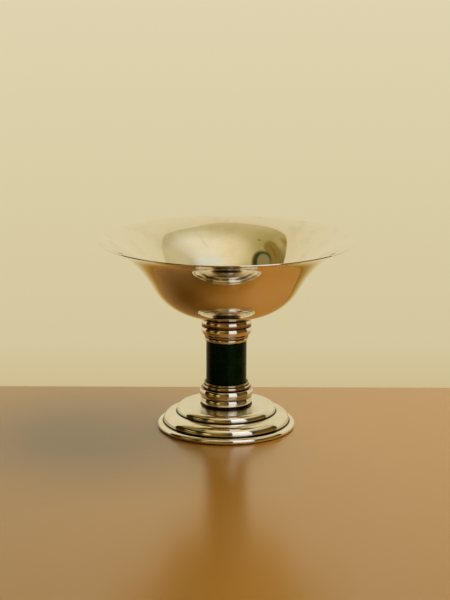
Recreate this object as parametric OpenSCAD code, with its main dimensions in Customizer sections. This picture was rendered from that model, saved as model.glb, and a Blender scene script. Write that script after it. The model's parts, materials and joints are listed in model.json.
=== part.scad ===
// Footed bowl: a spun bowl and a stepped foot, held by one rod through a round column between two beaded collars.
// The origin is the centre of the foot's underside, where it stands, and +Z is up. Lengths are in millimetres.

/* [Bowl] */
// Diameter over the flared rim
rim_d = 220; // [180:1:260]
// Thickness of the bowl's sheet
bowl_wall = 1.1; // [0.8:0.1:2]
// Radius of the gently rounded bottom, as a share of the rim's radius
crown_share = 1.2182; // [1.05:0.0001:1.32]
// Slope of the wall where the bottom ends, in degrees
crown_slope = 13.5; // [12:0.5:15]
// Radius of the turn from the bottom to the wall, as a share of the rim's radius
haunch_share = 0.4664; // [0.42:0.0001:0.49]
// Steepest slope of the wall, in degrees
wall_slope = 58.7; // [57:0.1:60]
// Radius of the outward turn above the wall, as a share of the rim's radius
flare_share = 0.8782; // [0.8:0.0001:0.92]
// Slope of the wall where the flare passes into the rim, in degrees
flare_slope = 37.8; // [36:0.1:41]
// Radius of the rim's last turn outwards, as a share of the rim's radius
rim_turn_share = 0.5409; // [0.48:0.0001:0.57]
// Slope of the sheet at the rim's edge, in degrees
rim_slope = 15.4; // [14:0.1:18]

/* [Neck] */
// Diameter of the neck between the bowl and the upper collar
neck_d = 39; // [36:0.5:40]
// Height of the neck at its edge
neck_h = 1.75; // [1.5:0.05:3]
// Diameter of the spigot that centres the boss in the upper collar
spigot_d = 24; // [20:1:28]
// Length of that spigot
spigot_len = 9; // [7.5:0.5:9.5]

/* [Column] */
// Diameter of the column
column_d = 35.1; // [30:0.1:40]
// Height of the column between the collars
column_show_h = 37.4; // [30:0.1:60]
// Depth of each collar's seat round the column's end
seat_depth = 3.4; // [2.6:0.1:5]

/* [Upper collar] */
// How far the top bead stands out past the column's side
upper_bead_a_out = 4.35; // [3.4:0.05:5.4]
// Height of the top bead
upper_bead_a_h = 6.2; // [5:0.1:7.5]
// How far the second bead stands out past the column's side
upper_bead_b_out = 4.75; // [3.4:0.05:6]
// Height of the second bead
upper_bead_b_h = 6.3; // [5:0.1:7.5]
// How far the third bead, a small one, stands out past the column's side
upper_bead_c_out = 2.15; // [1.6:0.05:3]
// Height of the third bead
upper_bead_c_h = 3.1; // [2.5:0.1:3.8]
// How far the bead round the column's top end stands out past its side
upper_bead_d_out = 1.5; // [1.2:0.05:2.4]
// Height of that bead
upper_bead_d_h = 3.4; // [2.8:0.1:4.1]

/* [Lower collar] */
// How far the bead round the column's bottom end stands out past its side
lower_bead_d_out = 1.85; // [1.4:0.05:2.6]
// Height of that bead
lower_bead_d_h = 2.3; // [1.9:0.1:3]
// How far the second bead, a small one, stands out past the column's side
lower_bead_c_out = 2.75; // [2.2:0.05:3.6]
// Height of the second bead
lower_bead_c_h = 3.2; // [2.6:0.1:4]
// How far the third bead stands out past the column's side
lower_bead_b_out = 5.65; // [4.5:0.05:6.5]
// Height of the third bead
lower_bead_b_h = 7.4; // [6:0.1:9]
// How far the bottom bead stands out past the column's side
lower_bead_a_out = 4.85; // [4:0.05:6]
// Height of the bottom bead
lower_bead_a_h = 6.35; // [5:0.05:8]
// How far the plain band that stands on the foot stands out past the column's side
lower_band_out = 4.75; // [4:0.05:6]
// Height of that band
lower_band_h = 1.35; // [1:0.05:3]

/* [Beads] */
// How far a large bead stands out of its joints, which is twice as far as a small one does
large_bulge = 1; // [0.6:0.1:1.2]

/* [Foot] */
// Diameter of the foot where it is widest
foot_d = 120; // [110:1:140]
// Thickness of the foot's sheet
foot_wall = 1; // [0.8:0.1:1.2]
// Height of the bottom step
bottom_step_h = 5; // [4.2:0.1:6]
// Radius of the bottom step's rolled edge, as a share of the step's height
edge_roll_share = 0.52; // [0.5:0.01:0.58]
// Width of the bottom step's ledge, from the foot's edge to the middle step
bottom_ledge_w = 5.3; // [4.4:0.1:8]
// Width of the hem that the foot stands on
hem_w = 4; // [2:0.1:8]
// Height of the middle step above the bottom step's ledge
middle_step_h = 7.7; // [7:0.1:9]
// Rounding of the middle step's edge
middle_round = 6.2; // [5:0.1:6.9]
// Width of the middle step's ledge, from its edge to the top step
middle_ledge_w = 11.7; // [9:0.1:16]
// How far the middle step's ledge falls from the top step to its own rounded edge
middle_fall = 0.95; // [0.4:0.05:1.2]
// Height of the top step's shoulder above the middle step's rounded edge
top_step_h = 7; // [6:0.1:9]
// Rounding of the top step's edge
top_round = 4.6; // [3.6:0.1:5.4]
// Width of the flat seat that shows round the lower collar's band
foot_seat_w = 1.7; // [1:0.1:4]
// Rise from the top step's shoulder to that seat
foot_seat_rise = 0.3; // [0.1:0.05:1]

/* [Rod, nut and washers] */
// Diameter of the tie rod
rod_d = 8; // [6:0.5:9]
// How far the rod reaches into the boss above its spigot's lower end
rod_grip = 7; // [5:0.5:7.5]
// How far the rod stands out below the nut
rod_tail = 2.4; // [1:0.1:3]
// Width of the nut across its flats
nut_flats = 13; // [11:0.5:15]
// Height of the nut
nut_h = 6.5; // [5:0.1:7]
// Diameter of the washer under the nut
washer_d = 22; // [16:0.5:26]
// Thickness of that washer
washer_t = 1.6; // [1:0.1:2]
// Diameter of the stiffening plate inside the foot
plate_d = 40; // [30:0.5:46]
// Thickness of that plate
plate_t = 2; // [1.5:0.1:2.5]
// Thickness of each soft packing washer
packing_t = 0.8; // [0.5:0.1:1.2]

/* [Fits] */
// Clearance all round the column's end in its seat
column_clear = 0.15; // [0.05:0.05:0.3]
// Clearance all round the rod in the holes that it passes
rod_clear = 0.3; // [0.1:0.05:0.6]
// Clearance all round the rod in the two plain holes that stand for its threads
thread_clear = 0.05; // [0.02:0.01:0.1]
// Clearance all round the boss's spigot
spigot_clear = 0.1; // [0.05:0.05:0.2]
// Film of braze between the boss and the bowl
braze_film = 0.05; // [0.05:0.01:0.1]

/* [Hidden] */
$fn = 96;

// One overrun serves every cut
over = 1;
// Turn between two points of the bowl's outline, in degrees
bowl_arc_step = 2.5;
// Turn between two points of a rounded edge of the foot, in degrees
foot_arc_step = 7.5;
// Sides of the large ball that shapes the boss's top
ball_sides = 192;
// Size of the chamfers on the rod's ends
chamfer = 0.8;
// Slope of the nut's turned corners, in degrees from its faces
nut_corner_slope = 30;

// Beads of each collar from the bottom up: how far it stands out past the column, its height and its bulge
small_bulge = large_bulge / 2;
upper_beads = [
    [upper_bead_d_out, upper_bead_d_h, small_bulge],
    [upper_bead_c_out, upper_bead_c_h, small_bulge],
    [upper_bead_b_out, upper_bead_b_h, large_bulge],
    [upper_bead_a_out, upper_bead_a_h, large_bulge]
];
lower_beads = [
    [lower_bead_a_out, lower_bead_a_h, large_bulge],
    [lower_bead_b_out, lower_bead_b_h, large_bulge],
    [lower_bead_c_out, lower_bead_c_h, small_bulge],
    [lower_bead_d_out, lower_bead_d_h, small_bulge]
];

// Height of a collar's first few beads together
function beads_h(beads, count) = count == 0 ? 0 : beads_h(beads, count - 1) + beads[count - 1][1];

// Heights of the stack, from the table up
middle_top_z = bottom_step_h + middle_step_h;
shoulder_z = middle_top_z + top_step_h;
foot_seat_z = shoulder_z + foot_seat_rise;
lower_collar_top_z = foot_seat_z + lower_band_h + beads_h(lower_beads, len(lower_beads));
upper_collar_z = lower_collar_top_z + column_show_h;
upper_collar_top_z = upper_collar_z + beads_h(upper_beads, len(upper_beads));
lower_packing_z = lower_collar_top_z - seat_depth;
upper_packing_z = upper_collar_z + seat_depth - packing_t;
column_z = lower_packing_z + packing_t;
plate_z = foot_seat_z - foot_wall - plate_t;
washer_z = plate_z - washer_t;
nut_z = washer_z - nut_h;
rod_z = nut_z - rod_tail;
spigot_z = upper_collar_top_z - spigot_len;
rod_top_z = spigot_z + rod_grip;

// Radii of the bowl's arcs
crown_r = crown_share * rim_d / 2;
haunch_r = haunch_share * rim_d / 2;
flare_r = flare_share * rim_d / 2;
rim_turn_r = rim_turn_share * rim_d / 2;

// Bottom of the bowl on the axis, so that the neck meets the rounded bottom at its own edge
neck_r = neck_d / 2;
bowl_z = upper_collar_top_z + neck_h - (crown_r - sqrt(crown_r * crown_r - neck_r * neck_r));

// Length of straight wall that brings the rim to its diameter
arcs_reach = crown_r * sin(crown_slope) + haunch_r * (sin(wall_slope) - sin(crown_slope))
    + flare_r * (sin(wall_slope) - sin(flare_slope)) + rim_turn_r * (sin(flare_slope) - sin(rim_slope));
wall_straight = (rim_d / 2 - arcs_reach) / cos(wall_slope);

// Angles from one value to another, in equal turns of no more than a step
function turns(from, to, step) =
    let (n = ceil(abs(to - from) / step)) [for (i = [0 : n]) from + (to - from) * i / n];

// Points of an arc that curves upwards (side 1) or outwards (side -1), given its centre, radius and slopes
function arc(centre, r, from, to, side) =
    [for (a = turns(from, to, bowl_arc_step)) centre + side * r * [sin(a), -cos(a)]];

// Centre of the arc that starts at a point with a slope
function centre_from(p, r, slope, side) = p - side * r * [sin(slope), -cos(slope)];

// Point of an arc where it has a slope
function arc_end(centre, r, slope, side) = centre + side * r * [sin(slope), -cos(slope)];

// Outline of the bowl's outer face, or of its inner face when it is moved inwards by the sheet's thickness
crown_c = [0, bowl_z + crown_r];
haunch_c = centre_from(arc_end(crown_c, crown_r, crown_slope, 1), haunch_r, crown_slope, 1);
wall_foot = arc_end(haunch_c, haunch_r, wall_slope, 1);
wall_head = wall_foot + wall_straight * [cos(wall_slope), sin(wall_slope)];
flare_c = centre_from(wall_head, flare_r, wall_slope, -1);
rim_c = centre_from(arc_end(flare_c, flare_r, flare_slope, -1), rim_turn_r, flare_slope, -1);

function bowl_face(inwards) = concat(
    arc(crown_c, crown_r - inwards, 0, crown_slope, 1),
    arc(haunch_c, haunch_r - inwards, crown_slope, wall_slope, 1),
    arc(flare_c, flare_r + inwards, wall_slope, flare_slope, -1),
    arc(rim_c, rim_turn_r + inwards, flare_slope, rim_slope, -1)
);

// Outline of the foot, above when inwards is zero and inside when it is the sheet's thickness
edge_roll = edge_roll_share * bottom_step_h;
middle_step_d = foot_d - 2 * bottom_ledge_w;
top_step_d = middle_step_d - 2 * middle_ledge_w;
foot_seat_d = column_d + 2 * (lower_band_out + foot_seat_w);
bottom_c = [foot_d / 2 - edge_roll, bottom_step_h - edge_roll];
middle_c = [middle_step_d / 2 - middle_round, middle_top_z - middle_round];
top_c = [top_step_d / 2 - top_round, shoulder_z - top_round];
hem_turn = asin(bottom_c[1] / edge_roll);
hem_turn_inside = asin((bottom_c[1] - foot_wall) / (edge_roll - foot_wall));

// A step's edge, as an arc from straight up down to a given turn below level
function step_edge(centre, r, below) =
    [for (a = turns(90, -below, foot_arc_step)) centre + r * [cos(a), sin(a)]];

function foot_face(inwards, hem) = concat(
    [[foot_seat_d / 2, foot_seat_z - inwards]],
    step_edge(top_c, top_round - inwards, 0),
    [[top_step_d / 2 - inwards, middle_top_z + middle_fall - inwards]],
    step_edge(middle_c, middle_round - inwards, 0),
    [[middle_step_d / 2 - inwards, bottom_step_h - inwards]],
    step_edge(bottom_c, edge_roll - inwards, hem)
);

// Half section of a collar's beads, which stand on zero
module beads(list) {
    for (i = [0 : len(list) - 1]) {
        bead_r = column_d / 2 + list[i][0];
        h = list[i][1];
        bulge = list[i][2];
        arc_r = (h * h / 4 + bulge * bulge) / (2 * bulge);
        translate([0, beads_h(list, i)]) {
            square([bead_r - bulge, h]);
            intersection() {
                translate([bead_r - arc_r, h / 2]) circle(r = arc_r);
                square([bead_r, h]);
            }
        }
    }
}

// Cylinder on the axis, from one height to another
module plug(d, from, to) {
    translate([0, 0, from]) cylinder(d = d, h = to - from);
}

// Flat ring on the axis
module ring(outer_d, inner_d, z, h) {
    difference() {
        plug(outer_d, z, z + h);
        plug(inner_d, z - over, z + h + over);
    }
}

// Spun sheet of the bowl
module bowl() {
    inside = bowl_face(bowl_wall);
    color("gainsboro")
    rotate_extrude()
    polygon(concat(bowl_face(0), [for (i = [len(inside) - 1 : -1 : 0]) inside[i]]));
}

// Boss under the bowl, whose edge is the neck and whose spigot takes the rod
module bowl_boss() {
    color("silver")
    difference() {
        union() {
            plug(neck_d, upper_collar_top_z, upper_collar_top_z + neck_h + over);
            plug(spigot_d, spigot_z, upper_collar_top_z + over);
        }
        translate([0, 0, crown_c[1]]) sphere(r = crown_r + braze_film, $fn = ball_sides);
        plug(rod_d + 2 * thread_clear, spigot_z - over, rod_top_z + chamfer);
    }
}

// Beaded ring between the bowl and the column
module upper_collar() {
    color("gainsboro")
    difference() {
        translate([0, 0, upper_collar_z]) rotate_extrude() beads(upper_beads);
        plug(column_d + 2 * column_clear, upper_collar_z - over, upper_collar_z + seat_depth);
        plug(rod_d + 2 * rod_clear, upper_collar_z, upper_collar_top_z);
        plug(spigot_d + 2 * spigot_clear, spigot_z, upper_collar_top_z + over);
    }
}

// Soft washer over the column's top end
module upper_packing_washer() {
    color("peru") ring(column_d, rod_d + 2 * rod_clear, upper_packing_z, packing_t);
}

// Dark green column, drilled for the rod
module column() {
    color("darkslategray") ring(column_d, rod_d + 2 * rod_clear, column_z, upper_packing_z - column_z);
}

// Soft washer under the column's bottom end
module lower_packing_washer() {
    color("peru") ring(column_d, rod_d + 2 * rod_clear, lower_packing_z, packing_t);
}

// Beaded ring between the column and the foot
module lower_collar() {
    color("gainsboro")
    difference() {
        translate([0, 0, foot_seat_z])
        rotate_extrude() {
            square([column_d / 2 + lower_band_out, lower_band_h]);
            translate([0, lower_band_h]) beads(lower_beads);
        }
        plug(column_d + 2 * column_clear, lower_packing_z, lower_collar_top_z + over);
        plug(rod_d + 2 * rod_clear, foot_seat_z - over, lower_collar_top_z);
    }
}

// Spun sheet of the foot, with its edge turned under as a hem
module foot() {
    outside = foot_face(0, hem_turn);
    inside = foot_face(foot_wall, hem_turn_inside);
    hem_r = outside[len(outside) - 1][0] - hem_w;
    hole_r = rod_d / 2 + rod_clear;
    color("gainsboro")
    rotate_extrude()
    polygon(concat(
        [[hole_r, foot_seat_z]],
        outside,
        [[hem_r, 0], [hem_r, foot_wall]],
        [for (i = [len(inside) - 1 : -1 : 0]) inside[i]],
        [[hole_r, foot_seat_z - foot_wall]]
    ));
}

// Stiffening disc inside the foot's top
module foot_plate() {
    color("darkkhaki") ring(plate_d, rod_d + 2 * rod_clear, plate_z, plate_t);
}

// Plain washer between the plate and the nut
module nut_washer() {
    color("darkkhaki") ring(washer_d, rod_d + 2 * rod_clear, washer_z, washer_t);
}

// Hexagon nut with its corners turned off on both faces
module tie_nut() {
    corners_d = nut_flats / cos(30);
    cone_d = nut_flats + 2 * nut_h / tan(nut_corner_slope);
    color("darkkhaki")
    difference() {
        intersection() {
            translate([0, 0, nut_z]) cylinder(d = corners_d, h = nut_h, $fn = 6);
            translate([0, 0, nut_z]) cylinder(d1 = nut_flats, d2 = cone_d, h = nut_h);
            translate([0, 0, nut_z]) cylinder(d1 = cone_d, d2 = nut_flats, h = nut_h);
        }
        plug(rod_d + 2 * thread_clear, nut_z - over, nut_z + nut_h + over);
    }
}

// Rod on the axis that clamps the stack, with both ends chamfered
module tie_rod() {
    color("darkkhaki") {
        translate([0, 0, rod_z]) cylinder(d1 = rod_d - 2 * chamfer, d2 = rod_d, h = chamfer);
        plug(rod_d, rod_z + chamfer, rod_top_z - chamfer);
        translate([0, 0, rod_top_z - chamfer]) cylinder(d1 = rod_d, d2 = rod_d - 2 * chamfer, h = chamfer);
    }
}

bowl();
bowl_boss();
upper_collar();
upper_packing_washer();
column();
lower_packing_washer();
lower_collar();
foot();
foot_plate();
nut_washer();
tie_nut();
tie_rod();
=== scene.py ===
import json
import math

import bpy
from mathutils import Matrix, Vector


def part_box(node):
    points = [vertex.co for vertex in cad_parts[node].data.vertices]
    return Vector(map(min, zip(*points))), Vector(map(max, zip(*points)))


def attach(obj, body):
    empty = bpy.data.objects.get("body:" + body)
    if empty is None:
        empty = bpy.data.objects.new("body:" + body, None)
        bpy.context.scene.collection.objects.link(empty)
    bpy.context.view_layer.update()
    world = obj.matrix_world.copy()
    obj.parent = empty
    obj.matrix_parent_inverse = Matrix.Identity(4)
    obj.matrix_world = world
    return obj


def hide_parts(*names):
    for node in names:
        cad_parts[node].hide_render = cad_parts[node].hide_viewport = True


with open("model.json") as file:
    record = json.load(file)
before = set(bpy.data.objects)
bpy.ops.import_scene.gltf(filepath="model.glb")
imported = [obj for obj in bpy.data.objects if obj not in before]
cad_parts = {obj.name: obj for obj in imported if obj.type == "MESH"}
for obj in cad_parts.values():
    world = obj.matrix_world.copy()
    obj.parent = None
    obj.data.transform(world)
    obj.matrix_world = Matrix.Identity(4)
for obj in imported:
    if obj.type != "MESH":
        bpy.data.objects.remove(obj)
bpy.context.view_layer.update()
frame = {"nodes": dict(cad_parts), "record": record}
print("frame loaded:", len(frame["nodes"]), "nodes")


# outlines and spun pieces

meshing = {
    "together": 1e-6,  # points nearer than this, in metres, become one
    "roundedFrom": 28.0,  # edges that turn by more than this many degrees get a small rounding
    "sharpFrom": 35.0,  # edges that turn by more than this stay sharp in the shading
}


def deselectAll():
    for item in bpy.context.selected_objects:
        item.select_set(False)


def selectOnly(piece):
    deselectAll()
    bpy.context.view_layer.objects.active = piece
    piece.select_set(True)


def applyModifier(piece, name, kind, **settings):
    selectOnly(piece)
    modifier = piece.modifiers.new(name, kind)
    for setting, value in settings.items():
        setattr(modifier, setting, value)
    bpy.ops.object.modifier_apply(modifier=name)


def smoothOver(piece, sharpFrom=meshing["sharpFrom"]):
    # smooth shading whose normals follow the wide faces, so that flat ledges reflect as flat
    selectOnly(piece)
    bpy.ops.object.shade_smooth_by_angle(angle=math.radians(sharpFrom))
    applyModifier(piece, "even_normals", "WEIGHTED_NORMAL", mode="FACE_AREA", weight=50, keep_sharp=True)


def roundEdges(piece, width, segments):
    # breaks the sharp edges and fills the sharp creases a little, as polishing leaves them
    applyModifier(piece, "soft_edges", "BEVEL", width=width, segments=segments, limit_method="ANGLE",
                  angle_limit=math.radians(meshing["roundedFrom"]), use_clamp_overlap=False)


class OutlinePen:
    # draws half a section in the XZ plane, point by point, then spins it round the axis
    # a heading of 0 degrees points away from the axis and 90 points up; lengths are in metres
    def __init__(self, name, x, z):
        deselectAll()
        bpy.ops.mesh.primitive_plane_add(size=0.01)
        self.piece = bpy.context.object
        self.piece.name = name
        self.piece.data.name = name
        bpy.ops.object.mode_set(mode="EDIT")
        bpy.ops.mesh.merge(type="CENTER")  # the plane shrinks to the outline's first point
        bpy.ops.transform.translate(value=(x, 0, z))
        self.start = (x, z)
        self.x, self.z, self.heading = x, z, 0.0

    def line(self, length, parts=1):
        stepX = length / parts * math.cos(math.radians(self.heading))
        stepZ = length / parts * math.sin(math.radians(self.heading))
        for part in range(parts):
            bpy.ops.mesh.extrude_region_move(TRANSFORM_OT_translate={"value": (stepX, 0, stepZ)})
        self.x += stepX * parts
        self.z += stepZ * parts

    def lineTo(self, x, z):
        self.heading = math.degrees(math.atan2(z - self.z, x - self.x))
        self.line(math.hypot(x - self.x, z - self.z))

    def lines(self, *corners):
        for x, z in corners:
            self.lineTo(x, z)

    def bend(self, radius, turn, step=1.25):
        # an arc that leaves in the outline's own direction, to the left when the turn is positive
        side = math.copysign(1, turn)
        toCentre = math.radians(self.heading + 90 * side)
        centreX = self.x + radius * math.cos(toCentre)
        centreZ = self.z + radius * math.sin(toCentre)
        steps = max(1, math.ceil(abs(turn) / step))
        bpy.ops.mesh.spin(steps=steps, angle=math.radians(turn), center=(centreX, 0, centreZ), axis=(0, 1, 0))
        self.heading += turn
        fromCentre = math.radians(self.heading - 90 * side)
        self.x = centreX + radius * math.cos(fromCentre)
        self.z = centreZ + radius * math.sin(fromCentre)

    def bead(self, radius, height, bulge, step=3.5):
        # a round bead drawn upwards from its lower joint, which is reached by a level ledge
        if abs(self.x - (radius - bulge)) > meshing["together"]:
            self.lineTo(radius - bulge, self.z)
        arcRadius = (height ** 2 / 4 + bulge ** 2) / (2 * bulge)
        half = math.degrees(math.asin(height / 2 / arcRadius))
        self.heading = 90 - half
        self.bend(arcRadius, 2 * half, step)

    def close(self):
        self.lineTo(*self.start)

    def spinRound(self, segments, edgeRound=0.0, roundSegments=2):
        bpy.ops.mesh.select_all(action="SELECT")
        bpy.ops.mesh.remove_doubles(threshold=meshing["together"])
        bpy.ops.mesh.spin(steps=segments, angle=math.radians(360), center=(0, 0, 0), axis=(0, 0, 1))
        bpy.ops.mesh.select_all(action="SELECT")
        bpy.ops.mesh.remove_doubles(threshold=meshing["together"])
        bpy.ops.mesh.normals_make_consistent(inside=False)
        bpy.ops.mesh.select_all(action="DESELECT")
        bpy.ops.object.mode_set(mode="OBJECT")
        if edgeRound:
            roundEdges(self.piece, edgeRound, roundSegments)
        smoothOver(self.piece)
        return self.piece


def fitPiece(piece, material, slotName, *nodes):
    piece.data.materials.clear()
    piece.data.materials.append(material)
    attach(piece, "root")
    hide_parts(*nodes)
    print("made", piece.name, len(piece.data.polygons), "faces")


# materials

class Wire:
    # a node's output that can stand in a sum
    def __init__(self, recipe, socket):
        self.recipe, self.socket = recipe, socket

    def __add__(self, other):
        return self.recipe.maths("ADD", self, other)

    def __radd__(self, other):
        return self.recipe.maths("ADD", other, self)

    def __sub__(self, other):
        return self.recipe.maths("SUBTRACT", self, other)

    def __rsub__(self, other):
        return self.recipe.maths("SUBTRACT", other, self)

    def __mul__(self, other):
        return self.recipe.maths("MULTIPLY", self, other)

    def __rmul__(self, other):
        return self.recipe.maths("MULTIPLY", other, self)

    def __truediv__(self, other):
        return self.recipe.maths("DIVIDE", self, other)

    def __pow__(self, other):
        return self.recipe.maths("POWER", self, other)

    def clipped(self):
        return self.recipe.node("ShaderNodeClamp", {}, {"Value": self})

    def output(self, name):
        return Wire(self.recipe, self.socket.node.outputs[name])


class Recipe:
    # the nodes of one material, or of the world
    def __init__(self, tree):
        self.tree = tree

    def node(self, kind, settings=None, sockets=None, output=0):
        made = self.tree.nodes.new(kind)
        for name, value in (settings or {}).items():
            if name == "stops":
                ramp = made.color_ramp
                while len(ramp.elements) < len(value):
                    ramp.elements.new(0.5)
                for element, (place, colour) in zip(ramp.elements, value):
                    element.position = place
                    element.color = colour
            else:
                setattr(made, name, value)
        self.feed(made, sockets or {})
        return Wire(self, made.outputs[output])

    def maths(self, operation, *values):
        return self.node("ShaderNodeMath", {"operation": operation}, dict(enumerate(values)))

    def feed(self, node, sockets):
        for name, value in sockets.items():
            if isinstance(value, Wire):
                self.tree.links.new(value.socket, node.inputs[name])
            else:
                node.inputs[name].default_value = value


def newFinish(name):
    material = bpy.data.materials.new(name)
    material.use_nodes = True
    return material, Recipe(material.node_tree), material.node_tree.nodes["Principled BSDF"]


def readPlace(recipe):
    # a point's x, y and height, and its distance from the axis, which stays above 0 to divide by
    place = recipe.node("ShaderNodeTexCoord", output="Object")
    x = recipe.node("ShaderNodeSeparateXYZ", {}, {"Vector": place})
    y, z = x.output("Y"), x.output("Z")
    radius = recipe.maths("MAXIMUM", recipe.maths("SQRT", x * x + y * y), 0.0005)
    return x, y, z, radius


def noise(recipe, place, scale, detail, roughness=0.5):
    return recipe.node("ShaderNodeTexNoise", {}, {
        "Vector": place, "Scale": scale, "Detail": detail, "Roughness": roughness})


def smoothStep(recipe, value, low, high, atLow=0.0, atHigh=1.0):
    return recipe.node("ShaderNodeMapRange", {"interpolation_type": "SMOOTHSTEP"}, {
        "Value": value, "From Min": low, "From Max": high, "To Min": atLow, "To Max": atHigh})


def colourRamp(recipe, value, stops, low, high):
    # colours at their places along a value that runs from low to high
    placed = tuple(((at - low) / (high - low), colour) for at, colour in stops)
    return recipe.node("ShaderNodeValToRGB", {"stops": placed}, {"Fac": (value - low) / (high - low)})


def mixColour(recipe, factor, first, second, blend="MIX"):
    return recipe.node("ShaderNodeMix", {"data_type": "RGBA", "blend_type": blend},
                       {"Factor": factor, 6: first, 7: second}, output=2)


def raised(recipe, height, depth, **under):
    return recipe.node("ShaderNodeBump", {}, {"Height": height, "Distance": depth, "Strength": 1.0, **under})


def ringMarks(recipe, spacing, around=1.5):
    # noise drawn out round the axis, as turning and spinning leave it
    x, y, z, radius = readPlace(recipe)
    vector = recipe.node("ShaderNodeCombineXYZ", {}, {
        "X": x / radius * around, "Y": y / radius * around, "Z": radius / spacing})
    return recipe.node("ShaderNodeTexNoise", {"noise_dimensions": "4D"}, {
        "Vector": vector, "W": z / spacing, "Scale": 1.0, "Detail": 2.0, "Roughness": 0.6})


def hairlines(recipe, sets, keptFrom=0.54, keptBy=0.64):
    # thin, nearly straight scratches, broken into stretches; each set has a turn, spacing, length and width
    place = recipe.node("ShaderNodeTexCoord", output="Object")
    found = None
    for turn, spacing, length, width in sets:
        drawn = recipe.node("ShaderNodeMapping", {}, {
            "Vector": place, "Rotation": turn, "Scale": (0.1 / length, 1 / spacing, 1 / spacing)})
        gap = recipe.maths("ABSOLUTE", noise(recipe, drawn, 1.0, 0.0) - 0.5)
        thin = smoothStep(recipe, gap, 0.0, width, 1.0, 0.0)
        broken = recipe.node("ShaderNodeMapping", {}, {
            "Vector": place, "Rotation": turn, "Scale": (1 / length, 0.5 / spacing, 0.5 / spacing)})
        scratches = thin * smoothStep(recipe, noise(recipe, broken, 1.0, 1.0), keptFrom, keptBy)
        found = scratches if found is None else found + scratches
    return found.clipped()


def creaseMask(recipe, creases):
    # 1 in the creases and falling off beside them; each is a radius, a height and a width
    z, radius = readPlace(recipe)[2:]
    mask = None
    for creaseRadius, height, width in creases:
        outBy, upBy = (radius - creaseRadius) / width, (z - height) / width
        away = outBy * outBy + upBy * upBy
        near = recipe.maths("EXPONENT", away * away * -1.0)
        mask = near if mask is None else recipe.maths("MAXIMUM", mask, near)
    return mask


def bandMask(recipe, low, high, beyond, softness=0.00008):
    # 1 on a band between two heights and outside a radius, which is painted near black
    z, radius = readPlace(recipe)[2:]
    mask = None
    for inside in (z - low, high - z, radius - beyond):
        side = smoothStep(recipe, inside, -softness, softness)
        mask = side if mask is None else mask * side
    return mask


def longScratch(recipe, start, end, width):
    # one straight scratch from start to end, fading at both ends
    start, end = Vector(start), Vector(end)
    along = (end - start).normalized()
    across = along.cross(Vector((0, 0, 1))).normalized()
    place = recipe.node("ShaderNodeTexCoord", output="Object")
    aside = recipe.node("ShaderNodeVectorMath", {"operation": "DOT_PRODUCT"}, {0: place, 1: across}, output=1)
    onward = recipe.node("ShaderNodeVectorMath", {"operation": "DOT_PRODUCT"}, {0: place, 1: along}, output=1)
    offLine = (aside - across.dot(start)) / width
    offMiddle = (onward - along.dot((start + end) / 2)) / ((end - start).length / 2)
    return recipe.maths("EXPONENT", (offLine * offLine + offMiddle ** 6.0) * -1.0)


silverLook = {
    "colour": (0.93, 0.885, 0.80, 1),
    "smeared": (0.60, 0.50, 0.34, 1),  # handled and faintly yellowed patches
    "tarnishAndShade": (0.022, 0.017, 0.010, 1),  # near black: sulphide tarnish in the creases, and painted shade where grooves and joints between parts go dark
    "paintedShade": (0.26, 0.135, 0.025, 1),  # painted shade, browner and lighter than the creases, laid beside them on the beads' lower halves
    "roughness": 0.055,
    # each kind of wear, and the painted shade: how much rougher it is, and how far it takes on its colour
    "smudges": (0.05, 0.22),
    "hairlines": (0.06, 0.18),
    "scratch": (0.2, 0.4),
    "paintedShadeAmounts": (0.06, 0.92),
    "darkenedRoughness": 0.2,
    "dulling": 0.2,  # where a cloth doesn't reach
    "ringing": 0.03,
    "clouds": (38.0, 4.0, 0.6),  # scale, detail and roughness of the handled patches
    "cloudEdge": (0.48, 0.7),
    "creaseNoise": (320.0, 3.0),  # scale and detail of the unevenness in the creases' tarnish and painted shade
    "creaseCover": (0.85, 0.5),
    "ringDepth": 2.0e-6,  # depth of the marks that spinning and polishing left
    "hairlineDepth": 1.2,  # against the rings'
    "dentDepth": 2.5e-5,  # depth of the shallow waves in the sheet
    # turn, spacing, length and width
    "hairlineSets": (((0.3, 0.2, 0.7), 0.0016, 0.05, 0.012), ((0.1, 0.9, 2.4), 0.0022, 0.04, 0.010),
                     ((1.2, 0.3, 1.4), 0.0030, 0.06, 0.008)),
}


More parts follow.
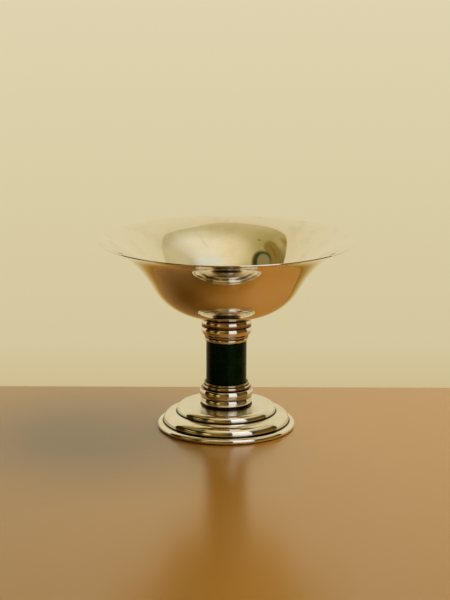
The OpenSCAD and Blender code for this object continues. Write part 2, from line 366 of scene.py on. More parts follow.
def silverFinish(name, look, creases, band=None, paintedShade=(), dulled=(), scratch=None, dentSize=0.045,
                 ringSpacing=0.00035):
    # the places of wear and of painted shade come from each piece's own dictionary
    material, recipe, shader = newFinish(name)
    place = recipe.node("ShaderNodeTexCoord", output="Object")
    smudge = smoothStep(recipe, noise(recipe, place, *look["clouds"]), *look["cloudEdge"])
    rings = ringMarks(recipe, ringSpacing)
    fine = hairlines(recipe, look["hairlineSets"])
    (smudgeRough, smudgeStain), (fineRough, fineStain) = look["smudges"], look["hairlines"]
    roughness = look["roughness"] + smudge * smudgeRough + fine * fineRough + (rings - 0.5) * look["ringing"]
    colour = mixColour(recipe, (smudge * smudgeStain + fine * fineStain).clipped(), look["colour"], look["smeared"])
    if scratch:
        scratched = longScratch(recipe, *scratch)
        scratchRough, scratchStain = look["scratch"]
        roughness = roughness + scratched * scratchRough
        colour = mixColour(recipe, scratched * scratchStain, colour, look["smeared"])
    if dulled:
        roughness = roughness + creaseMask(recipe, dulled) * look["dulling"]
    # painted shade: the beads' lower halves are browned and darkened, as if they mirrored a shaded floor
    if paintedShade:
        beside = creaseMask(recipe, paintedShade)
        shadeRough, shadeCover = look["paintedShadeAmounts"]
        roughness = roughness + beside * shadeRough
        colour = mixColour(recipe, beside * shadeCover, colour, look["paintedShade"])
    # the creases go near black: tarnish, together with painted shade in the grooves and the joints between parts
    least, more = look["creaseCover"]
    dark = (creaseMask(recipe, creases) * (least + noise(recipe, place, *look["creaseNoise"]) * more)).clipped()
    # the band is painted near black as well
    if band:
        dark = (dark + bandMask(recipe, *band)).clipped()
    roughness = roughness + dark * look["darkenedRoughness"]
    colour = mixColour(recipe, dark, colour, look["tarnishAndShade"])
    dented = raised(recipe, noise(recipe, place, 1 / dentSize, 1.5), look["dentDepth"])
    normal = raised(recipe, rings - fine * look["hairlineDepth"], look["ringDepth"], Normal=dented)
    recipe.feed(shader, {"Base Color": colour, "Metallic": 1.0, "Roughness": roughness.clipped(), "Normal": normal})
    return material


columnLook = {
    "colour": (0.0009, 0.0075, 0.0015, 1),
    "paler": (0.0040, 0.0320, 0.0062, 1),
    "roughness": 0.23,
    "gloss": 0.11,
    "tint": (0.50, 1.0, 0.34, 1),
    "clouds": (90.0, 5.0, 0.65),
    "cloudEdge": (0.42, 0.68),
    # how much rougher it is, and how far it takes on the paler colour
    "mottling": (0.08, 0.7),
    "hairlines": (0.15, 0.3),
    "ringing": 0.06,
    "rings": (0.0004, 2.0),
    "scratchDepth": 3e-6,
    "hairlineSets": (((0.2, 1.3, 0.4), 0.0012, 0.02, 0.014), ((0.9, 0.4, 1.9), 0.0018, 0.03, 0.012)),
}


def columnFinish(look):
    material, recipe, shader = newFinish("green_column")
    place = recipe.node("ShaderNodeTexCoord", output="Object")
    cloudy = smoothStep(recipe, noise(recipe, place, *look["clouds"]), *look["cloudEdge"])
    rings = ringMarks(recipe, *look["rings"])
    fine = hairlines(recipe, look["hairlineSets"])
    (cloudRough, cloudPale), (fineRough, finePale) = look["mottling"], look["hairlines"]
    colour = mixColour(recipe, (cloudy * cloudPale + fine * finePale).clipped(), look["colour"], look["paler"])
    roughness = look["roughness"] + cloudy * cloudRough + fine * fineRough + (rings - 0.5) * look["ringing"]
    normal = raised(recipe, rings - fine, look["scratchDepth"])
    recipe.feed(shader, {"Base Color": colour, "Roughness": roughness.clipped(), "Normal": normal,
                         "Specular IOR Level": look["gloss"], "Specular Tint": look["tint"]})
    return material


brassLook = {
    "colour": (0.60, 0.42, 0.17, 1),
    "dulled": (0.24, 0.15, 0.06, 1),
    "roughness": 0.32,
    "clouds": (160.0, 6.0, 0.65),
    "cloudEdge": (0.38, 0.68),
    "specks": (900.0, 2.0),
    "speckEdge": (0.62, 0.7),
    "speckCover": 0.7,
    # how much rougher it is, and how far it takes on the dulled colour
    "dulling": (0.2, 0.75),
    "spotting": 0.2,
    "ringing": 0.1,
    "ringSpacing": 0.0005,
    "turningDepth": 8e-6,
    "speckDepth": 0.4,  # against the turning marks'
}


def brassFinish(name, look):
    material, recipe, shader = newFinish(name)
    place = recipe.node("ShaderNodeTexCoord", output="Object")
    dull = smoothStep(recipe, noise(recipe, place, *look["clouds"]), *look["cloudEdge"])
    specks = noise(recipe, place, *look["specks"])
    spots = smoothStep(recipe, specks, *look["speckEdge"], 0.0, look["speckCover"])
    rings = ringMarks(recipe, look["ringSpacing"])
    dullRough, dullStain = look["dulling"]
    colour = mixColour(recipe, (dull * dullStain + spots).clipped(), look["colour"], look["dulled"])
    roughness = look["roughness"] + dull * dullRough + spots * look["spotting"] + (rings - 0.5) * look["ringing"]
    normal = raised(recipe, rings + specks * look["speckDepth"], look["turningDepth"])
    recipe.feed(shader, {"Base Color": colour, "Metallic": 1.0, "Roughness": roughness.clipped(), "Normal": normal})
    return material


leatherLook = {
    "colour": (0.17, 0.085, 0.04, 1),
    "darker": (0.055, 0.027, 0.014, 1),
    "roughness": 0.62,
    "unevenness": 0.2,  # how much rougher the darker places are
    "grain": 1400.0,
    "pressing": (240.0, 5.0),
    "pressedDepth": 0.5,  # against the grain's
    "grainDepth": 6e-5,
}


def leatherFinish(look):
    material, recipe, shader = newFinish("packing_leather")
    place = recipe.node("ShaderNodeTexCoord", output="Object")
    grain = recipe.node("ShaderNodeTexVoronoi", {"feature": "DISTANCE_TO_EDGE"}, {
        "Vector": place, "Scale": look["grain"]})
    pressed = noise(recipe, place, *look["pressing"])
    colour = mixColour(recipe, pressed, look["colour"], look["darker"])
    roughness = look["roughness"] + pressed * look["unevenness"]
    normal = raised(recipe, grain + pressed * look["pressedDepth"], look["grainDepth"])
    recipe.feed(shader, {"Base Color": colour, "Roughness": roughness, "Normal": normal})
    return material


# bowl

bowlSizes = {
    "sheet": 0.0011,  # thickness of the spun sheet
    "crown": (0.134, 13.5),  # radius and turn of the gently rounded bottom
    "haunch": (0.0513, 45.2),  # from the bottom up into the wall
    "flare": (0.0966, 20.9),  # outwards again above the wall
    "rim": (0.0595, 22.4),  # the last turn out to the edge
    "edgeRound": 0.0004,  # small rounding of the sheet's edge
    "around": 256,
    "wear": {
        "creases": ((0.11085, 0.1660, 0.0007),),  # along the edge
        "scratch": ((-0.02562, 0.08142, 0.15329), (-0.01649, 0.07313, 0.14305), 0.00022),
    },
}


def makeBowl(sizes):
    low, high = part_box("bowl")
    sheet, edge = sizes["sheet"], sizes["edgeRound"]
    slopes = {}
    reach, heading = 0.0, 0.0
    for part, side in (("crown", 1), ("haunch", 1), ("flare", -1), ("rim", -1)):
        radius, turn = sizes[part]
        slopes[part] = heading
        after = heading + side * turn
        reach += side * radius * (math.sin(math.radians(after)) - math.sin(math.radians(heading)))
        heading = after
    rimRadius = frame["record"]["size"]["bbox_m"][0] / 2
    wall = (rimRadius - reach) / math.cos(math.radians(slopes["flare"]))
    edgeTurn = math.degrees(edge / sizes["rim"][0])
    pen = OutlinePen("bowl_shell", 0, low.z)
    pen.bend(sizes["crown"][0], sizes["crown"][1])
    pen.bend(sizes["haunch"][0], sizes["haunch"][1])
    pen.line(wall, parts=3)
    pen.bend(sizes["flare"][0], -sizes["flare"][1])
    pen.bend(sizes["rim"][0], -sizes["rim"][1] + edgeTurn)
    pen.bend(edge, 90, step=15)
    pen.line(sheet - 2 * edge)
    pen.bend(edge, 90, step=15)
    pen.bend(sizes["rim"][0] + sheet, sizes["rim"][1] - edgeTurn)
    pen.bend(sizes["flare"][0] + sheet, sizes["flare"][1])
    pen.line(wall, parts=3)
    pen.bend(sizes["haunch"][0] - sheet, -sizes["haunch"][1])
    pen.bend(sizes["crown"][0] - sheet, -sizes["crown"][1])
    return pen.spinRound(sizes["around"])


bowlSilver = silverFinish("silver_bowl", silverLook, **bowlSizes["wear"])
fitPiece(makeBowl(bowlSizes), bowlSilver, "silver_plate", "bowl")


# boss under the bowl, with the fillet of braze round its edge

bossSizes = {
    "neck": (0.0195, 0.097),  # radius, and height where it stands on the collar
    "spigot": (0.012, 0.088),
    "bore": (0.00405, 0.0958),
    "fillet": 0.0007,
    "ballRadius": 0.13405,  # fits round the bowl's bottom
    "film": 0.00005,  # of braze between the two
    "edgeRound": 0.00025,
    "around": 128,
    "wear": {
        # where the neck meets the collar and the bowl: tarnish and painted shade
        "creases": ((0.0197, 0.0972, 0.0005), (0.0204, 0.0990, 0.0004)),
        # the band round the neck is painted near black
        "band": (0.0969, 0.0989, 0.0180),
    },
}


def makeBoss(sizes):
    (neck, seat), (spigot, lowEnd), (bore, boreTop) = sizes["neck"], sizes["spigot"], sizes["bore"]
    fillet, ball = sizes["fillet"], sizes["ballRadius"]
    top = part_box("bowl_boss")[1].z
    filletEdge = neck + fillet
    ballTurn = math.degrees(math.asin(filletEdge / ball))
    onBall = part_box("bowl")[0].z - sizes["film"] + ball * (1 - math.cos(math.radians(ballTurn)))
    pen = OutlinePen("boss_under_bowl", bore, lowEnd)
    pen.lines((spigot, lowEnd), (spigot, seat), (neck, seat), (neck, onBall - fillet))
    pen.bend(fillet, ballTurn - 90, step=12)
    pen.heading = 180 + ballTurn
    pen.bend(ball, -ballTurn, step=0.6)
    pen.lines((0, boreTop), (bore, boreTop))
    pen.close()
    return pen.spinRound(sizes["around"], sizes["edgeRound"])


bossSilver = silverFinish("silver_neck", silverLook, **bossSizes["wear"])
fitPiece(makeBoss(bossSizes), bossSilver, "silver_plate", "bowl_boss")


# collars: beads from the bottom up, each with its radius, height and bulge

upperCollarSizes = {
    "foot": 0.078,
    "seat": (0.0177, 0.0034),  # radius and depth of the seat round the column's end
    "beads": ((0.01905, 0.0034, 0.0005), (0.0197, 0.0031, 0.0005), (0.0223, 0.0063, 0.001), (0.0219, 0.0062, 0.001)),
    "spigotHole": (0.0121, 0.088),
    "rodHole": 0.0043,
    "edgeRound": 0.00012,
    "around": 160,
    "endCreases": ((0.0178, 0.078, 0.0008), (0.0199, 0.0970, 0.0009)),
    "wear": {
        # where painted shade lies on the beads' lower halves: radius, height and reach
        "paintedShade": ((0.0186, 0.0814, 0.0012), (0.0197, 0.0841, 0.0019), (0.0212, 0.0921, 0.0018),
                    (0.0199, 0.0970, 0.0018)),
        "dentSize": 0.02,
        "ringSpacing": 0.0002,
    },
}
lowerCollarSizes = {
    "foot": 0.020,
    "seat": (0.0177, 0.0034),
    "band": (0.0223, 0.00135),
    "beads": ((0.0224, 0.00635, 0.001), (0.0232, 0.0074, 0.001), (0.0203, 0.0032, 0.0005), (0.0194, 0.0023, 0.0005)),
    "rodHole": 0.0043,
    "edgeRound": 0.00012,
    "around": 160,
    "endCreases": ((0.0178, 0.0406, 0.0008),),
    "wear": {
        # painted shade on the beads' lower halves: radius, height and reach
        "paintedShade": ((0.0216, 0.0216, 0.0012), (0.0216, 0.0290, 0.0022), (0.0209, 0.0357, 0.0017),
                    (0.0193, 0.0384, 0.0010), (0.0190, 0.0405, 0.0009)),
        # the band at the collar's foot is painted near black
        "band": (0.0199, 0.02155, 0.0190),
        "dentSize": 0.02,
        "ringSpacing": 0.0002,
    },
}


def makeUpperCollar(sizes):
    seat, seatDepth = sizes["seat"]
    spigotHole, spigotFloor = sizes["spigotHole"]
    pen = OutlinePen("upper_beaded_collar", seat, sizes["foot"])
    for bead in sizes["beads"]:
        pen.bead(*bead)
    top = pen.z
    pen.lines((spigotHole, top), (spigotHole, spigotFloor), (sizes["rodHole"], spigotFloor),
              (sizes["rodHole"], sizes["foot"] + seatDepth), (seat, sizes["foot"] + seatDepth))
    pen.close()
    return pen.spinRound(sizes["around"], sizes["edgeRound"])


def makeLowerCollar(sizes):
    seat, seatDepth = sizes["seat"]
    band, bandHeight = sizes["band"]
    foot = sizes["foot"]
    pen = OutlinePen("lower_beaded_collar", sizes["rodHole"], foot)
    pen.lines((band, foot), (band, foot + bandHeight))
    for bead in sizes["beads"]:
        pen.bead(*bead)
    top = pen.z
    pen.lines((seat, top), (seat, top - seatDepth), (sizes["rodHole"], top - seatDepth))
    pen.close()
    return pen.spinRound(sizes["around"], sizes["edgeRound"])


def collarSilver(name, sizes, beadsFrom, creaseWidth=0.0008):
    # tarnish, with painted shade, darkens the joints between neighbouring beads and the collar's ends, where it meets
    # the next part
    creases = list(sizes["endCreases"])
    height = beadsFrom
    beads = sizes["beads"]
    for (radius, beadHeight, bulge), (nextRadius, nextHeight, nextBulge) in zip(beads, beads[1:]):
        height += beadHeight
        creases.append((min(radius - bulge, nextRadius - nextBulge), height, creaseWidth))
    return silverFinish(name, silverLook, creases, **sizes["wear"])


fitPiece(makeUpperCollar(upperCollarSizes),
         collarSilver("silver_upper_collar", upperCollarSizes, upperCollarSizes["foot"]),
         "silver_plate", "upper_collar")
fitPiece(makeLowerCollar(lowerCollarSizes),
         collarSilver("silver_lower_collar", lowerCollarSizes, lowerCollarSizes["foot"] + lowerCollarSizes["band"][1]),
         "silver_plate", "lower_collar")


# column and the packing washers at its ends

columnSizes = {"radius": 0.01755, "bore": 0.0043, "ends": (0.038, 0.0806), "edgeRound": 0.0004, "around": 192}
packingSizes = {
    "radius": 0.01755,
    "bore": 0.0043,
    "ends": ((0.0372, 0.038), (0.0806, 0.0814)),
    "edgeRound": 0.00018,
    "around": 128,
}


def makeRing(name, sizes, low, high):
    radius, bore = sizes["radius"], sizes["bore"]
    pen = OutlinePen(name, bore, low)
    pen.lines((radius, low), (radius, high), (bore, high))
    pen.close()
    return pen.spinRound(sizes["around"], sizes["edgeRound"], roundSegments=3)


fitPiece(makeRing("green_column_tube", columnSizes, *columnSizes["ends"]), columnFinish(columnLook),
         "green_column", "column")
leather = leatherFinish(leatherLook)
for place, ends in zip(("lower", "upper"), packingSizes["ends"]):
    fitPiece(makeRing(place + "_leather_washer", packingSizes, *ends), leather,
             "packing", place + "_packing_washer")


# foot: one spun sheet in three steps, its edge turned under

footSizes = {
    "radius": 0.060,
    "sheet": 0.001,
    "bore": 0.0043,
    "seat": (0.024, 0.020),  # radius and height of the flat that carries the collar
    "shoulder": 0.0197,
    "topStep": (0.043, 0.01365, 0.0046),  # radius, height where its side ends, rounding of its edge
    "middleStep": (0.0547, 0.0127, 0.0062),  # radius, height of its edge, rounding of its edge
    "bottomStep": (0.005, 0.0026),  # height, rounding of its edge
    "hem": 0.004,
    "edgeRound": 0.0003,
    "around": 256,
    "wear": {
        # the steps' inner corners and the seat under the collar carry tarnish and painted shade; the last, at the hem
        # on the floor, is a painted contact shadow
        "creases": ((0.0432, 0.0138, 0.0010), (0.0549, 0.0052, 0.0010), (0.0223, 0.020, 0.0004),
                    (0.0587, 0.0001, 0.0008)),
        "dulled": ((0.0300, 0.0199, 0.0115),),  # the flat round the collar
    },
}


def makeFoot(sizes):
    sheet, bore = sizes["sheet"], sizes["bore"]
    seat, seatHeight = sizes["seat"]
    topRadius, topLow, topRound = sizes["topStep"]
    middleRadius, middleHeight, middleRound = sizes["middleStep"]
    bottomHeight, bottomRound = sizes["bottomStep"]
    hemTurn = math.degrees(math.asin((bottomHeight - bottomRound) / bottomRound))
    insideRound = bottomRound - sheet
    insideTurn = math.degrees(math.asin((bottomHeight - bottomRound - sheet) / insideRound))
    pen = OutlinePen("stepped_foot", bore, seatHeight)
    pen.lines((seat, seatHeight), (topRadius - topRound, sizes["shoulder"]))
    pen.heading = 0
    pen.bend(topRound, -90, step=2.5)
    pen.lines((topRadius, topLow), (middleRadius - middleRound, middleHeight))
    pen.heading = 0
    pen.bend(middleRound, -90, step=2.5)
    pen.lines((middleRadius, bottomHeight), (sizes["radius"] - bottomRound, bottomHeight))
    pen.bend(bottomRound, -90 - hemTurn, step=4)
    hemEdge = pen.x - sizes["hem"]
    pen.lines((hemEdge, 0), (hemEdge, sheet))
    # back up along the inside
    pen.lineTo(sizes["radius"] - bottomRound + insideRound * math.cos(math.radians(insideTurn)), sheet)
    pen.heading = 90 - insideTurn
    pen.bend(insideRound, 90 + insideTurn, step=6)
    pen.lines((middleRadius - sheet, bottomHeight - sheet), (middleRadius - sheet, middleHeight - middleRound))
    pen.bend(middleRound - sheet, 90, step=4)
    pen.lines((topRadius - sheet, topLow - sheet), (topRadius - sheet, sizes["shoulder"] - topRound))
    pen.bend(topRound - sheet, 90, step=4)
    pen.lines((seat, seatHeight - sheet), (bore, seatHeight - sheet))
    pen.close()
    return pen.spinRound(sizes["around"], sizes["edgeRound"], roundSegments=3)


footSilver = silverFinish("silver_foot", silverLook, **footSizes["wear"])
fitPiece(makeFoot(footSizes), footSilver, "silver_plate", "foot")


# what holds the stack together under the foot

plateSizes = {"radius": 0.020, "bore": 0.0043, "ends": (0.017, 0.019), "fillet": 0.0008, "edgeRound": 0.0002,
              "around": 128}
washerSizes = {"radius": 0.011, "bore": 0.0043, "ends": (0.0154, 0.017), "edgeRound": 0.00025, "around": 96}
nutSizes = {"flats": 0.013, "ends": (0.0089, 0.0154), "bore": 0.00405, "countersink": 0.0046, "cornerSlope": 30,
            "edgeRound": 0.0002, "around": 96}
rodSizes = {
    "radius": 0.004,
    "ends": (0.0065, 0.095),
    "pitch": 0.00125,
    "depth": 0.0007,
    "flanks": (0.2, 0.52, 0.68),  # shares of the pitch where the thread leaves its root, tops out and falls again
    "crestIn": 0.00003,  # how far the thread's top stays inside the rod's radius
    "chamfer": 0.0008,
    "threadSteps": 32,
    "around": 96,
}


def makePlate(sizes):
    radius, bore, fillet = sizes["radius"], sizes["bore"], sizes["fillet"]
    low, high = sizes["ends"]
    pen = OutlinePen("stiffening_plate", bore, low)
    pen.lines((radius, low), (radius, high - fillet))
    pen.bend(fillet, -90, step=10)
    pen.lineTo(bore, high)
    pen.close()
    return pen.spinRound(sizes["around"], sizes["edgeRound"])


def spinCutter(name, corners, segments):
    # a plain closed turning that cuts another piece
    pen = OutlinePen(name, *corners[0])
    pen.lines(*corners[1:])
    if corners[0][0] > 0:
        pen.close()
    return pen.spinRound(segments)


def cutWith(piece, tool, operation):
    applyModifier(piece, "cut", "BOOLEAN", operation=operation, object=tool, solver="EXACT")
    bpy.data.objects.remove(tool, do_unlink=True)


def makeNut(sizes):
    low, high = sizes["ends"]
    half, bore, sink, around = sizes["flats"] / 2, sizes["bore"], sizes["countersink"], sizes["around"]
    middle = (low + high) / 2
    rise = (high - low) / math.tan(math.radians(sizes["cornerSlope"])) / 2
    over = 0.001  # how far the bore's cutter stands past the nut
    deselectAll()
    bpy.ops.mesh.primitive_cylinder_add(vertices=6, radius=half / math.cos(math.radians(30)), depth=high - low,
                                        location=(0, 0, middle), rotation=(0, 0, math.radians(30)))
    nut = bpy.context.object
    nut.name = nut.data.name = "hexagon_nut"
    bpy.ops.object.transform_apply(location=True, rotation=True, scale=True)
    roundEdges(nut, sizes["edgeRound"], 3)
    cones = spinCutter("cones", ((0, low), (half, low), (half + rise, middle), (half, high), (0, high)), around)
    cutWith(nut, cones, "INTERSECT")
    bored = spinCutter("bored", ((0, low - over), (sink + over, low - over), (bore, low + sink - bore),
                                 (bore, high - sink + bore), (sink + over, high + over), (0, high + over)), around)
    cutWith(nut, bored, "DIFFERENCE")
    smoothOver(nut)
    return nut


def makeRod(sizes):
    low, high = sizes["ends"]
    radius, pitch, chamfer = sizes["radius"], sizes["pitch"], sizes["chamfer"]
    root, crest = radius - sizes["depth"], radius - sizes["crestIn"]
    leaves, tops, falls = sizes["flanks"]
    # one turn of the thread, repeated past both ends and then cut to length
    turns = math.ceil((high - low) / pitch) + 3
    start = low - 1.5 * pitch
    pen = OutlinePen("threaded_rod", root, start)
    pen.lines((root, start + pitch * leaves), (crest, start + pitch * tops), (crest, start + pitch * falls),
              (root, start + pitch))
    bpy.ops.object.mode_set(mode="OBJECT")
    rod = pen.piece
    steps = sizes["threadSteps"]
    applyModifier(rod, "thread", "SCREW", angle=math.radians(360), screw_offset=pitch, iterations=turns,
                  steps=steps, render_steps=steps, use_merge_vertices=True, merge_threshold=meshing["together"],
                  axis="Z")
    bpy.ops.object.mode_set(mode="EDIT")
    bpy.ops.mesh.select_all(action="SELECT")
    bpy.ops.mesh.remove_doubles(threshold=meshing["together"])
    spare = 0.0001
    for height, normal in ((low - spare, (0, 0, -1)), (high + spare, (0, 0, 1))):
        bpy.ops.mesh.select_all(action="SELECT")
        bpy.ops.mesh.bisect(plane_co=(0, 0, height), plane_no=normal, use_fill=True, clear_outer=True)
    bpy.ops.mesh.select_all(action="SELECT")
    bpy.ops.mesh.normals_make_consistent(inside=False)
    bpy.ops.object.mode_set(mode="OBJECT")
    shape = spinCutter("rod_ends", ((0, low), (radius - chamfer, low), (radius, low + chamfer),
                                    (radius, high - chamfer), (radius - chamfer, high), (0, high)), sizes["around"])
    cutWith(rod, shape, "INTERSECT")
    smoothOver(rod, 30)
    return rod


brass = brassFinish("aged_brass", brassLook)
fitPiece(makePlate(plateSizes), brass, "brass", "foot_plate")
fitPiece(makeRing("plain_washer", washerSizes, *washerSizes["ends"]), brass, "brass", "nut_washer")
fitPiece(makeNut(nutSizes), brass, "brass", "tie_nut")
fitPiece(makeRod(rodSizes), brass, "brass", "tie_rod")


# floor, wall and light

stageLook = {
    "floor": (0.56, 0.25, 0.026, 1),
    "floorRoughness": 0.22,
    "floorIndex": 1.36,  # a soft varnish: hardly a mirror from above, more of one at a low angle
    "floorDown": 0.0001,  # how far the floor lies under the foot, so that the two faces don't share a plane
    "underFoot": 0.054,  # the floor is open inside the foot's hem, so that its underside gets light
    "floorFades": (0.62, 1.15),  # how far from the bowl the floor starts to fade and is gone, for the camera
    "floorEdge": 0.122,  # how far behind the bowl the floor ends
    "front": 3,  # how far the floor comes forward
    "width": 6,
    # how the wall glows at each height, straight and in the silver, with painted shade that darkens and browns it
    # below the floor's level
    "wall": (
        (-0.52, (0.27, 0.125, 0.012, 1)), (-0.37, (0.41, 0.25, 0.055, 1)), (-0.23, (0.575, 0.455, 0.22, 1)),
        (-0.12, (0.665, 0.57, 0.34, 1)), (0.1, (0.70, 0.615, 0.385, 1)), (0.35, (0.74, 0.66, 0.435, 1)),
        (0.8, (0.73, 0.645, 0.42, 1)), (1.5, (0.70, 0.60, 0.365, 1))),
    "wallShades": (-1, 2),  # the heights between which those are laid out
    "wallPaint": (0.70, 0.615, 0.385, 1),  # what it throws on the floor
    "lowestSeen": -0.18,  # below this height the camera sees the wall in one even tone
    "behind": (0.69, 0.60, 0.38, 1),  # what the camera sees past the wall and floor
    "wallAt": 0.75,
    "wallFoot": -1,
    "wallTop": 1.55,
    "wallCuts": 15,
    # how far the wall's upper edge is lifted, from left to right
    "wallLifts": ((-3, 0.5), (-2.625, 0.5), (-2.25, 0.5), (-1.875, 0.49), (-1.5, 0.48), (-1.125, 0.365),
                  (-0.75, 0.25), (-0.375, 0.125), (0.375, 0.52), (0.75, 0.08), (1.125, -0.03), (1.5, -0.15),
                  (1.875, -0.2), (2.25, -0.2), (2.625, -0.2), (3, -0.2)),
}


def clearFromBehind(material, recipe, front, alsoClear=0.0):
    # seen from behind it lets everything through, so that the object shows from below and from the back
    behind = recipe.node("ShaderNodeNewGeometry", output="Backfacing")
    clear = recipe.node("ShaderNodeBsdfTransparent")
    shown = recipe.node("ShaderNodeMixShader", {}, {0: (behind + alsoClear).clipped(), 1: front, 2: clear})
    recipe.feed(material.node_tree.nodes["Material Output"], {"Surface": shown})


def floorFinish(look):
    material, recipe, shader = newFinish("floor_varnish")
    recipe.feed(shader, {"Base Color": look["floor"], "Roughness": look["floorRoughness"],
                         "IOR": look["floorIndex"], "Coat Weight": 1.0, "Coat IOR": look["floorIndex"],
                         "Coat Roughness": look["floorRoughness"]})
    radius = readPlace(recipe)[3]
    far = smoothStep(recipe, radius, *look["floorFades"])
    opening = recipe.maths("LESS_THAN", radius, look["underFoot"])
    camera = recipe.node("ShaderNodeLightPath", output="Is Camera Ray")
    clearFromBehind(material, recipe, Wire(recipe, shader.outputs[0]), far * camera + opening)
    return material


def wallFinish(look):
    # a pale ground for the camera and for the silver, whose glow carries painted shade, darker and browner towards the
    # bottom
    material, recipe, shader = newFinish("wall_paint")
    recipe.feed(shader, {"Base Color": look["wallPaint"], "Roughness": 0.9, "Specular IOR Level": 0.2})
    rays = recipe.node("ShaderNodeLightPath", output="Is Camera Ray")
    seen = (rays + rays.output("Is Glossy Ray") + rays.output("Is Transmission Ray")).clipped()
    low, high = look["wallShades"]
    lowest = rays * (look["lowestSeen"] - low) + low
    height = recipe.maths("MAXIMUM", readPlace(recipe)[2], lowest)
    glow = recipe.node("ShaderNodeEmission", {}, {"Color": colourRamp(recipe, height, look["wall"], low, high)})
    front = recipe.node("ShaderNodeMixShader", {}, {0: seen, 1: Wire(recipe, shader.outputs[0]), 2: glow})
    clearFromBehind(material, recipe, front)
    return material


def addSheet(name, size, place, turn, material):
    deselectAll()
    bpy.ops.mesh.primitive_plane_add(size=1, location=place, rotation=turn)
    sheet = bpy.context.object
    sheet.name = name
    sheet.scale = (size[0], size[1], 1)
    bpy.ops.object.transform_apply(location=True, rotation=True, scale=True)
    sheet.data.materials.append(material)
    return sheet


def makeStage(look):
    edge, front, width = look["floorEdge"], look["front"], look["width"]
    wallFoot, wallTop = look["wallFoot"], look["wallTop"]
    addSheet("floor", (width, front + edge), (0, (edge - front) / 2, -look["floorDown"]), (0, 0, 0),
             floorFinish(look))
    wall = addSheet("wall", (width, wallTop - wallFoot), (0, look["wallAt"], (wallTop + wallFoot) / 2),
                    (math.radians(90), 0, 0), wallFinish(look))
    bpy.ops.object.mode_set(mode="EDIT")
    bpy.ops.mesh.subdivide(number_cuts=look["wallCuts"])
    bpy.ops.mesh.select_all(action="DESELECT")
    bpy.ops.object.mode_set(mode="OBJECT")
    near = 0.01
    for x, lift in look["wallLifts"]:
        for vertex in wall.data.vertices:
            vertex.select = abs(vertex.co.x - x) < near and vertex.co.z > wallTop - near
        bpy.ops.object.mode_set(mode="EDIT")
        bpy.ops.transform.translate(value=(0, 0, lift))
        bpy.ops.mesh.select_all(action="DESELECT")
        bpy.ops.object.mode_set(mode="OBJECT")


makeStage(stageLook)

lights = {
    "window": {"place": (0.76, -1.36, 0.72), "aim": (0, 0, 0.72), "size": (1.0, 1.44), "radiance": 0.88,
               "colour": (0.97, 0.985, 1.0), "glossy": True},
    "overhead": {"place": (0.8, 0.2, 1.25), "aim": (0, 0, 0), "size": (1.0, 1.0), "radiance": 4.5,
                 "colour": (1.0, 0.97, 0.91), "glossy": False},
}


def addLight(name, setup):
    bpy.ops.object.light_add(type="AREA", location=setup["place"])
    light = bpy.context.object
    light.name = name
    light.data.shape = "RECTANGLE"
    width, height = light.data.size, light.data.size_y = setup["size"]
    light.data.energy = setup["radiance"] * math.pi * width * height
    light.data.color = setup["colour"]
    aim = Vector(setup["aim"]) - Vector(setup["place"])
    light.rotation_euler = aim.to_track_quat("-Z", "Y").to_euler()
    light.visible_glossy = setup["glossy"]


for name, setup in lights.items():
    addLight(name, setup)

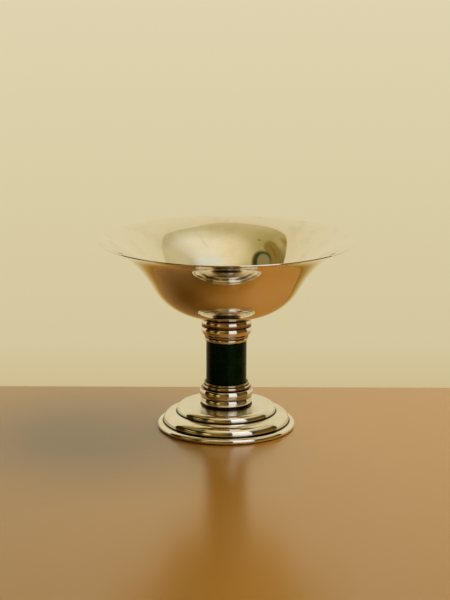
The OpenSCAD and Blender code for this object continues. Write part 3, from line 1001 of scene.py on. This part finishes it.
# the studio round the stage: heights and turns in degrees, a turn of 0 is the camera's side and 90 the right
studioLook = {
    "onBareSurfaces": 0.18,  # how much of it lights what isn't polished
    # the ceiling from the far left, -1, to the far right, 1
    "ceiling": (
        (-0.9, (0.45, 0.35, 0.13, 1)), (-0.6, (0.58, 0.45, 0.18, 1)), (-0.4, (0.58, 0.48, 0.21, 1)),
        (-0.2, (0.74, 0.62, 0.35, 1)), (0, (0.80, 0.69, 0.43, 1)), (0.22, (0.83, 0.745, 0.51, 1)),
        (0.42, (0.79, 0.72, 0.515, 1)), (0.62, (0.61, 0.545, 0.35, 1)), (0.9, (0.60, 0.50, 0.29, 1))),
    # how much of that shows from the camera's right, below 0, to the wall's left, above 0
    "depth": (
        (-0.2, (1, 1, 1, 1)), (-0.1, (0.92, 0.91, 0.87, 1)), (0, (0.79, 0.77, 0.67, 1)),
        (0.08, (0.70, 0.67, 0.52, 1)), (0.25, (0.67, 0.64, 0.48, 1)), (0.45, (0.74, 0.71, 0.60, 1))),
    "slant": 0.5,  # how much a step to the right counts as one towards the camera there
    # and at each height
    "heights": (
        (-90, (0.85, 0.85, 0.85, 1)), (-25, (0.7, 0.7, 0.7, 1)), (-10, (0.035, 0.028, 0.015, 1)),
        (6, (0.045, 0.037, 0.02, 1)), (24, (0.05, 0.043, 0.025, 1)), (34, (0.30, 0.29, 0.24, 1)),
        (43, (0.68, 0.65, 0.56, 1)), (53, (1, 1, 1, 1))),
    # soft patches: turn, height, half width, half height, colour, strength, sharpness of the edge
    "patches": (
        (-20, 13, 24, 15, (0.20, 0.125, 0.028, 1), 0.85, 2),
        (-24, 35, 18, 9, (0.52, 0.42, 0.19, 1), 0.85, 2),
        (-52, 25, 13, 12, (0.010, 0.010, 0.003, 1), 0.95, 3),
        (-68, 11, 13, 4.5, (0.66, 0.50, 0.20, 1), 0.9, 3),
        (-35, 6, 8, 6, (0.86, 0.62, 0.23, 1), 0.92, 3),
        (98, 42, 32, 12, (0.60, 0.51, 0.285, 1), 0.9, 3),
        (75, 12, 24, 20, (0.10, 0.075, 0.024, 1), 0.9, 3),
        (33, 49, 27, 13, (0.70, 0.72, 0.62, 1), 0.8, 2),
        (-92.5, 47, 12.6, 17, (0.235, 0.150, 0.028, 1), 0.95, 5),
        (-91, 57.5, 9.6, 6.2, (0.25, 0.160, 0.032, 1), 0.93, 5),
        (-99.5, 58.5, 5.2, 5.2, (0.26, 0.170, 0.035, 1), 0.93, 4),
        (-93.5, 52, 1.7, 9, (0.14, 0.085, 0.012, 1), 0.6, 2),
        (-82.5, 57, 1.3, 7, (0.13, 0.09, 0.015, 1), 0.5, 2),
        (-67, 48.5, 18.5, 11.5, (0.026, 0.024, 0.006, 1), 0.97, 7),
        (-70.5, 46.5, 12.3, 9.4, (0.25, 0.205, 0.075, 1), 0.97, 9),
        (-89.5, 69, 3.6, 1.3, (0.20, 0.14, 0.03, 1), 0.85, 1.5),
        (-117.5, 51.5, 4.5, 6, (0.29, 0.16, 0.035, 1), 0.85, 2)),
}


def makeStudio(look, seen):
    world = bpy.data.worlds.new("studio")
    bpy.context.scene.world = world
    world.use_nodes = True
    recipe = Recipe(world.node_tree)
    direction = recipe.node("ShaderNodeTexCoord", output="Generated")
    x = recipe.node("ShaderNodeSeparateXYZ", {}, {"Vector": direction})
    y, z = x.output("Y"), x.output("Z")
    toDegrees = 180 / math.pi
    turn = recipe.maths("ARCTAN2", x, y * -1.0) * toDegrees
    height = recipe.maths("ARCSINE", z) * toDegrees
    colour = colourRamp(recipe, x, look["ceiling"], -1, 1)
    for shade in (colourRamp(recipe, height, look["heights"], -90, 90),
                  colourRamp(recipe, y - x * look["slant"], look["depth"], -1, 1)):
        colour = mixColour(recipe, 1.0, colour, shade, "MULTIPLY")
    for atTurn, atHeight, halfWidth, halfHeight, patchColour, strength, sharpness in look["patches"]:
        across, up = (turn - atTurn) / halfWidth, (height - atHeight) / halfHeight
        away = (across * across + up * up) ** sharpness
        colour = mixColour(recipe, recipe.maths("EXPONENT", away * -1.0) * strength, colour, patchColour)
    camera = recipe.node("ShaderNodeLightPath", output="Is Camera Ray")
    colour = mixColour(recipe, camera, colour, seen)
    bare = look["onBareSurfaces"]
    strength = (camera + camera.output("Is Glossy Ray")).clipped() * (1 - bare) + bare
    recipe.feed(world.node_tree.nodes["Background"], {"Color": colour, "Strength": strength})


makeStudio(studioLook, stageLook["behind"])
print("stage and lights set")


# camera

cameraSetup = {
    "place": (0.0021, -1.5463, 0.4743),
    "down": 13.164,  # degrees below level
    "left": 0.128,
    "roll": 0.167,
    "lens": 110.25,
}


def addCamera(setup):
    bpy.ops.object.camera_add(location=setup["place"])
    camera = bpy.context.object
    turn = Matrix.Rotation(math.radians(setup["left"]), 3, "Z")
    tilt = Matrix.Rotation(math.radians(90 - setup["down"]), 3, "X")
    roll = Matrix.Rotation(math.radians(setup["roll"]), 3, "Z")
    camera.rotation_euler = (turn @ tilt @ roll).to_euler()
    camera.data.lens = setup["lens"]
    bpy.context.scene.camera = camera


addCamera(cameraSetup)
bpy.context.scene.view_settings.view_transform = "Standard"

print("finished")
